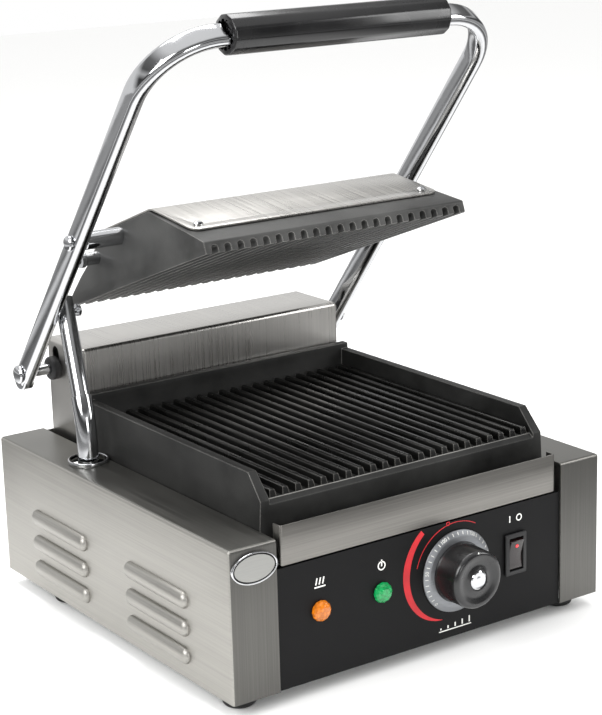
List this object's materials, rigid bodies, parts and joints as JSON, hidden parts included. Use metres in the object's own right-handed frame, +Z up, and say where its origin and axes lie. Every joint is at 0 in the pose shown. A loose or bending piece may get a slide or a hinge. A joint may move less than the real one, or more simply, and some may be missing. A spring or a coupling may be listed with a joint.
{
  "type": "contact grill",
  "caption": "Single contact grill: ribbed cast plates in a stainless casing, lift handle on a rear hinge, tilting upper plate, drip tray, dial, rocker switch.",
  "frame": {"origin": "middle of the bounding box, on the surface the feet stand on", "axes": "+Z up, +X to the grill's right, front towards -Y"},
  "size_m": [0.309, 0.3342, 0.4175],
  "materials": {
    "brushed_steel": "fine straight brushing",
    "chrome": "bright plated",
    "cast_iron": "matt, slightly mottled",
    "foot_rubber": "moulded",
    "grip_plastic": "heat-resistant phenolic, satin",
    "panel_black": "black film on steel, satin",
    "black_plastic": "moulded",
    "knob_plastic": "satin",
    "dial_grey": "satin",
    "orange_lens": "translucent",
    "green_lens": "translucent",
    "rocker_plastic": "gloss",
    "inner_steel": "galvanised or heat-darkened"
  },
  "bodies": {
    "base": {"left_side_casing": "brushed_steel", "right_side_casing": "brushed_steel", "base_pan": "brushed_steel", "rear_panel": "brushed_steel", "cable_gland": "black_plastic", "control_panel": "panel_black", "hot_lamp_lens": "orange_lens", "hot_lamp_body": "black_plastic", "power_lamp_lens": "green_lens", "power_lamp_body": "black_plastic", "thermostat_body": "inner_steel", "thermostat_probe": "inner_steel", "switch_body": "black_plastic", "foot_front_left": "foot_rubber", "foot_front_right": "foot_rubber", "foot_rear_left": "foot_rubber", "foot_rear_right": "foot_rubber", "badge_blank": "chrome", "terminal_block": "black_plastic", "tray_runner_left": "inner_steel", "tray_runner_right": "inner_steel", "lower_plate": "cast_iron", "lower_heating_element": "inner_steel", "lower_clamp_plate": "inner_steel", "rear_cover": "brushed_steel", "pivot_bush_left": "black_plastic", "pivot_bush_right": "black_plastic", "torsion_spring_left": "inner_steel", "torsion_spring_right": "inner_steel", "conduit_escutcheon": "chrome"},
    "handle": {"handle_tube": "chrome", "grip": "grip_plastic", "pivot_shaft": "chrome", "pivot_bolt_left": "chrome", "pivot_bolt_right": "chrome", "plate_rod_left": "chrome", "plate_rod_right": "chrome", "rod_cap_left": "chrome", "rod_cap_right": "chrome", "conduit_bolt": "chrome"},
    "upper_press": {"upper_plate": "cast_iron", "upper_cover": "brushed_steel", "upper_heating_element": "inner_steel", "upper_clamp_plate": "inner_steel", "lead_bush": "chrome", "cover_screw_front_left": "chrome", "cover_screw_front_right": "chrome", "cover_screw_rear_left": "chrome", "cover_screw_rear_right": "chrome"},
    "conduit": {"lead_conduit": "chrome"},
    "tray": {"drip_tray": "brushed_steel"},
    "knob": {"knob_cap": "knob_plastic", "dial_skirt": "dial_grey", "knob_insert": "chrome", "thermostat_shaft": "brushed_steel"},
    "rocker": {"switch_rocker": "rocker_plastic"}
  },
  "joints": [
    {"name": "handle_pivot", "type": "hinge", "parent": "base", "child": "handle", "pos_m": [0, 0.13975, 0.1579], "axis": [1, 0, 0], "range_deg": [0, 46.92]},
    {"name": "plate_tilt", "type": "hinge", "parent": "handle", "child": "upper_press", "pos_m": [0, 0.0528, 0.26566], "axis": [1, 0, 0], "range_deg": [-28, 0]},
    {"name": "conduit_swing", "type": "hinge", "parent": "handle", "child": "conduit", "pos_m": [-0.12085, 0.09956, 0.20771], "axis": [1, 0, 0], "range_deg": [-31, 0]},
    {"name": "tray_slide", "type": "slide", "parent": "base", "child": "tray", "axis": [0, -1, 0], "range_m": [0, 0.075]},
    {"name": "knob_turn", "type": "hinge", "parent": "base", "child": "knob", "pos_m": [0.0255, -0.14345, 0.0555], "axis": [0, 1, 0], "range_deg": [0, 270]},
    {"name": "switch_rock", "type": "hinge", "parent": "base", "child": "rocker", "pos_m": [0.0757, -0.14255, 0.0555], "axis": [1, 0, 0], "range_deg": [-12, 0]}
  ],
  "couplings": [
    {"joint": "plate_tilt", "follows": "handle_pivot", "ratio": -0.57372},
    {"joint": "conduit_swing", "follows": "handle_pivot", "ratio": -0.635}
  ]
}
